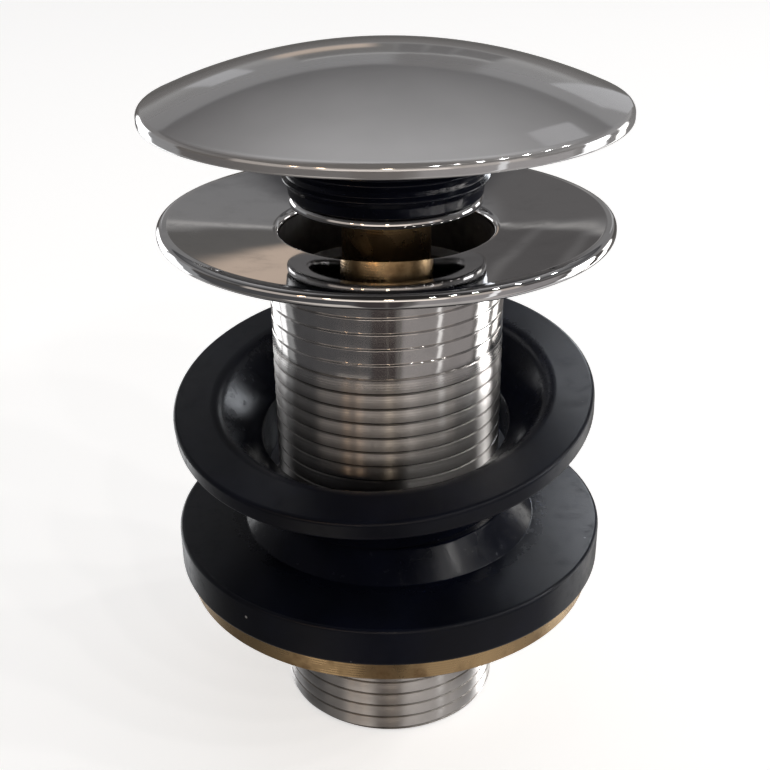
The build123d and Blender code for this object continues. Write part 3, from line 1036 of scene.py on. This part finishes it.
class WASTE_OT_seal(Operator):
    """Plug seal: rubber sleeve with two wiping beads and a broad lip"""

    bl_idname = "waste.seal"
    bl_label = "Plug seal"

    def execute(self, context):
        size = Millimetres(context.scene.waste_plug)
        low, top = seal_low.z / MM, seal_high.z / MM
        foot = carrier_high.x / MM
        lip = seal_high.x / MM
        lip_level = top - size.seal_lip
        waist = lip_level - size.seal_lip
        waist_radius = foot + SEAL_WAIST
        section = [(size.seal_bore, low, FINE_EASE), (foot, low, EASE)]
        span = (waist - low) / (SEAL_BEADS + 1)
        for bead in range(SEAL_BEADS):
            level = low + span * (bead + 1)
            wall = foot + (waist_radius - foot) * (level - low) / (waist - low)
            for share, step, rise, ease in BEAD:
                section.append((wall + step + share * size.seal_bead, level + rise, ease))
        section += [
            (waist_radius, waist, SWEEP_ROUND),
            (lip, lip_level, LIP_ROUND),
            (lip, top, LIP_ROUND),
            (size.seal_bore, top, FINE_EASE),
        ]
        skin = lathed(section)
        piece("rubber_plug_seal", skin, "plug", "plug_seal", "black_rubber", "moulded_rubber")
        return {"FINISHED"}


class WASTE_OT_carrier(Operator):
    """Seal carrier and brass stem of the plug"""

    bl_idname = "waste.carrier"
    bl_label = "Carrier and stem"

    def execute(self, context):
        size = Millimetres(context.scene.waste_plug)
        low, top = carrier_low.z / MM, carrier_high.z / MM
        rim = carrier_high.x / MM
        shoulder = top - size.carrier_web
        web_hole = size.stud_radius + WEB_FIT
        cup = lathed([
            (size.carrier_bore, low, FULL_EASE),
            (rim, low, FULL_EASE),
            (rim, low + size.carrier_rim, ROLLED_EDGE),
            (size.carrier_cup, low + size.carrier_rim, 0),
            (size.carrier_cup, top, FINE_EASE),
            (web_hole, top, 0),
            (web_hole, shoulder, 0),
            (size.carrier_bore, shoulder, FULL_EASE),
        ])
        piece("turned_seal_carrier", cup, "plug", "seal_carrier", "bright_plate", "polished_plate")
        foot, tip = stem_low.z / MM, stem_high.z / MM
        radius = stem_high.x / MM
        ceiling = shoulder - size.stem_head
        pocket_top = foot + size.pocket_depth
        barrel = [
            (0, ceiling, 0),
            (size.stem_bore, ceiling, 0),
            (size.stem_bore, pocket_top, 0),
            (size.pocket_radius, pocket_top, 0),
            (size.pocket_radius, foot, SLIGHT_EASE),
            (radius, foot, FULL_EASE),
            (radius, shoulder, 0),
            (size.stud_radius, shoulder, 0),
            (size.stud_radius, tip, TIP_ROUND),
            (0, tip, 0),
        ]
        skin = lathed(barrel, closed=False, share=2)
        piece("brass_plug_stem", skin, "plug", "plug_stem", "raw_brass", "turned_brass")
        return {"FINISHED"}


class WASTE_OT_spring(Operator):
    """Return spring: a coil of round wire"""

    bl_idname = "waste.spring"
    bl_label = "Return spring"

    def execute(self, context):
        group = context.scene.waste_plug
        wire = group.spring_wire / MM / 2
        low, top = spring_low.z / MM + wire, spring_high.z / MM - wire
        reach = spring_high.x / MM - wire
        skin = bmesh.new()
        steps = group.spring_turns * SPRING_STEPS
        circle = [polar(wire, FULL_TURN * step / WIRE_STEPS) for step in range(WIRE_STEPS)]
        rings = []
        for step in range(steps + 1):
            out = Vector((*polar(1, FULL_TURN * step / SPRING_STEPS), 0))
            centre = out * reach + UP * (low + (top - low) * step / steps)
            points = [centre + out * across + UP * along for across, along in circle]
            rings.append([skin.verts.new(point) for point in points])
        for ring, following in zip(rings, rings[1:]):
            banded(skin, ring, following, WIRE_STEPS)
        skin.faces.new(rings[0])
        skin.faces.new(rings[-1])
        bmesh.ops.recalc_face_normals(skin, faces=skin.faces)
        made = piece("coiled_return_spring", skin, "waste", "return_spring", "steel", "plain_steel")
        press = next(joint for joint in frame["joints"] if joint["name"] == "plug_press")
        open_length = spring_high.z - spring_low.z
        spring_low.z
        (open_length + press["range_m"][0]) / open_length
        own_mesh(made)
        return {"FINISHED"}


class WASTE_OT_cartridge(Operator):
    """Finishes of the cartridge's inner pieces, and the nut that holds it to the spider"""

    bl_idname = "waste.cartridge"
    bl_label = "Cartridge"

    def execute(self, context):
        for node, material in (
            ("cartridge_core", "turned_brass"),
            ("stem_collar", "turned_brass"),
            ("index_ring", "turned_brass"),
            ("index_ball", "plain_steel"),
            ("lock_washer", "plain_steel"),
        ):
            materials = frame["nodes"][node].data.materials
            materials.clear()
            materials.append(finish(material))
        low, high = (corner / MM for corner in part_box("cartridge_nut"))
        block = prism(hexagon(high.y - low.y), low.z, high.z, FULL_EASE)
        hole = drill(STUD_RADIUS + SEAT_FIT, low.z, high.z)
        skin = joined(block, hole, "DIFFERENCE")
        piece("hexagon_cartridge_nut", skin, "waste", "cartridge_nut", "raw_brass", "turned_brass")
        return {"FINISHED"}


class WASTE_OT_washers(Operator):
    """The two rubber washers, the upper one leaning on the lower"""

    bl_idname = "waste.washers"
    bl_label = "Rubber washers"

    def execute(self, context):
        group = context.scene.waste_washers
        size = Millimetres(group)
        low, top = lower_low.z / MM, lower_high.z / MM
        outer = lower_high.x / MM
        rim = low + size.lower_rim
        recess = low + size.lower_recess_depth
        ease = size.washer_round
        skin = lathed([
            (size.lower_bore, recess, EASE),
            (size.lower_recess - size.lower_recess_depth, recess, EASE),
            (size.lower_recess, low, EASE),
            (outer, low, ease),
            (outer, rim, ease),
            (size.lower_hub_base, rim, LOWER_ROOT),
            (size.lower_hub_tip, top, ease),
            (size.lower_bore, top, EASE),
        ])
        rubber = ("black_rubber", "moulded_rubber")
        piece("lower_rubber_washer", skin, "washers", "lower_washer", *rubber)
        skin = lathed([
            (size.upper_bore, -size.upper_depth, EASE),
            (size.upper_hub_tip, -size.upper_depth, ease),
            (size.upper_hub_base, -size.upper_rim, UPPER_ROOT),
            (size.upper_radius, -size.upper_rim, ease),
            (size.upper_radius, 0, ease),
            (size.upper_mouth, 0, size.upper_rim),
            (size.upper_bore, -size.upper_funnel, SWEEP_ROUND),
        ])
        lean = group.upper_lean
        axis = Vector((*polar(math.sin(lean), group.upper_heading), math.cos(lean)))
        tilt = UP.rotation_difference(axis).to_matrix().to_4x4()
        skin.transform(Matrix.Translation(Vector(group.upper_place) / MM) @ tilt)
        piece("upper_rubber_washer", skin, "washers", "upper_washer", *rubber)
        return {"FINISHED"}


class WASTE_OT_backnut(Operator):
    """Brass backnut: thin round flange over a hexagon"""

    bl_idname = "waste.backnut"
    bl_label = "Backnut"

    def execute(self, context):
        size = Millimetres(context.scene.waste_washers)
        low, top = nut_low.z / MM, nut_high.z / MM
        outer = nut_high.x / MM
        foot = top - size.nut_flange
        edge = size.nut_edge
        disc = [
            (0, top, 0),
            (outer - edge, top, SLIGHT_EASE),
            (outer, top - edge, SLIGHT_EASE),
            (outer, foot + edge, SLIGHT_EASE),
            (outer - edge, foot, SLIGHT_EASE),
            (0, foot, 0),
        ]
        block = prism(hexagon(size.nut_flats), low, foot + OVERCUT, HEXAGON_EDGE)
        skin = joined(lathed(disc, closed=False), block, "UNION")
        flare = size.nut_bore + NUT_LEAD + OVERCUT
        bore = [
            (0, top + OVERCUT, 0),
            (flare, top + OVERCUT, 0),
            (size.nut_bore, top - NUT_LEAD, 0),
            (size.nut_bore, low + NUT_LEAD, 0),
            (flare, low - OVERCUT, 0),
            (0, low - OVERCUT, 0),
        ]
        skin = joined(skin, lathed(bore, closed=False), "DIFFERENCE")
        piece("brass_backnut", skin, "nut", "backnut", "raw_brass", "turned_brass")
        return {"FINISHED"}


class WASTE_OT_stage(Operator):
    """Pale floor, soft surroundings, lamps and camera"""

    bl_idname = "waste.stage"
    bl_label = "Stage"

    def execute(self, context):
        scene = context.scene
        self.set_floor()
        self.set_surroundings(scene)
        self.set_lamps()
        self.set_camera(scene)
        scene.view_settings.view_transform = "Standard"
        return {"FINISHED"}

    def set_floor(self):
        """Round floor that sweeps up into a wall; only the camera sees it."""
        level = body_low.z
        edge = (FLOOR_RADIUS, level, FLOOR_SWEEP)
        section = [(0, level, 0), edge, (FLOOR_RADIUS, level + WALL_HEIGHT, 0)]
        floor = placed("floor", mesh_of("floor", lathed(section, closed=False, share=2)))
        floor.data.materials.append(finish("pale_floor"))
        floor.visible_glossy = False
        floor.visible_diffuse = False
        floor.visible_shadow = False

    def set_surroundings(self, scene):
        """Soft room round the object: dim walls, a lighter ceiling and a few pale panels."""
        world = bpy.data.worlds.new("room")
        scene.world = world
        world.use_nodes = True
        graph = Graph(world.node_tree)
        x, y, z = graph.parts(graph.node("ShaderNodeTexCoord", output="Generated"))
        azimuth = graph.sum("ARCTAN2", x, y) * DEGREES
        elevation = graph.sum("ARCSINE", z) * DEGREES
        stops = [((place + 90) / 180, tone) for place, tone in ROOM_TONES]
        room = graph.node("ShaderNodeValToRGB", {"stops": stops}, {0: (elevation + 90) / 180})
        front = graph.rise(graph.sum("ABSOLUTE", azimuth), *FRONT_TURN)
        room = graph.blend(front * graph.rise(elevation, *FRONT_RISE), room, FRONT_TONE)
        for left, right, low, high, soft, tone in ROOM_PANELS:
            panel = graph.band(azimuth, left, right, soft) * graph.band(elevation, low, high, soft)
            room = graph.blend(panel, room, tone)
        shader = graph.node("ShaderNodeBackground", None, {"Color": room, "Strength": 1.0})
        graph.node_end("ShaderNodeOutputWorld", shader)

    def set_lamps(self):
        """Small lamps overhead and in front, and cards and strips for the rubber and the thread."""
        reached = {}
        for reach, names in LAMP_REACH.items():
            reached[reach] = bpy.data.collections.new(f"{reach}_pieces")
            for name in names:
                reached[reach].objects.link(bpy.data.objects[name])
        for name, place, width, tall, power, tone, reach in LAMPS:
            light = bpy.data.lights.new(name, "AREA")
            light.shape = "ELLIPSE"
            light.size, light.size_y = width, tall
            light.energy = power
            light.color = tone
            lamp = placed(name, light)
            lamp.location = place
            lamp.rotation_euler = Vector(place).to_track_quat("Z", "Y").to_euler()
            lamp.visible_camera = False
            if reach in reached:
                lamp.light_linking.receiver_collection = reached[reach]
            if reach == "body":
                lamp.light_linking.blocker_collection = reached[reach]

    def set_camera(self, scene):
        stage = scene.waste_stage
        lens = bpy.data.cameras.new("camera")
        lens.sensor_width = SENSOR_WIDTH
        lens.lens = stage.camera_lens
        lens.shift_x, lens.shift_y = stage.camera_shift
        lens.clip_start = NEAR_CLIP
        camera = placed("camera", lens)
        camera.matrix_world = (
            Matrix.Translation(stage.camera_place)
            @ Matrix.Rotation(math.pi / 2 - stage.camera_pitch, 4, "X")
            @ Matrix.Rotation(stage.camera_roll, 4, "Z")
        )
        scene.camera = camera


class WASTE_PT_pieces(Panel):
    """Buttons for the pieces and the stage, and the sizes and colours they use"""

    bl_idname = "WASTE_PT_pieces"
    bl_label = "Basin waste"
    bl_space_type = "VIEW_3D"
    bl_region_type = "UI"
    bl_category = "Waste"

    def draw(self, context):
        layout = self.layout
        for operator in OPERATORS:
            layout.operator(operator.bl_idname)
        for name, group in GROUPS.items():
            box = layout.box()
            box.label(text=group.__doc__)
            for prop in group.__annotations__:
                box.prop(getattr(context.scene, name), prop)


OPERATORS = (
    WASTE_OT_body,
    WASTE_OT_cap,
    WASTE_OT_seal,
    WASTE_OT_carrier,
    WASTE_OT_spring,
    WASTE_OT_cartridge,
    WASTE_OT_washers,
    WASTE_OT_backnut,
    WASTE_OT_stage,
)
GROUPS = {
    "waste_body": BodySizes,
    "waste_plug": PlugSizes,
    "waste_washers": WasherSizes,
    "waste_colours": FinishColours,
    "waste_stage": StageSettings,
}


def register():
    for kind in (*GROUPS.values(), *OPERATORS, WASTE_PT_pieces):
        bpy.utils.register_class(kind)
    for name, group in GROUPS.items():
        setattr(bpy.types.Scene, name, PointerProperty(type=group))


def unregister():
    for name in GROUPS:
        delattr(bpy.types.Scene, name)
    for kind in (WASTE_PT_pieces, *reversed(OPERATORS), *GROUPS.values()):
        bpy.utils.unregister_class(kind)


def main():
    """Builds every piece and the stage."""
    register()
    bpy.ops.waste.body()
    bpy.ops.waste.cap()
    bpy.ops.waste.seal()
    bpy.ops.waste.carrier()
    bpy.ops.waste.spring()
    bpy.ops.waste.cartridge()
    bpy.ops.waste.washers()
    bpy.ops.waste.backnut()
    bpy.ops.waste.stage()


if __name__ == "__main__":
    main()
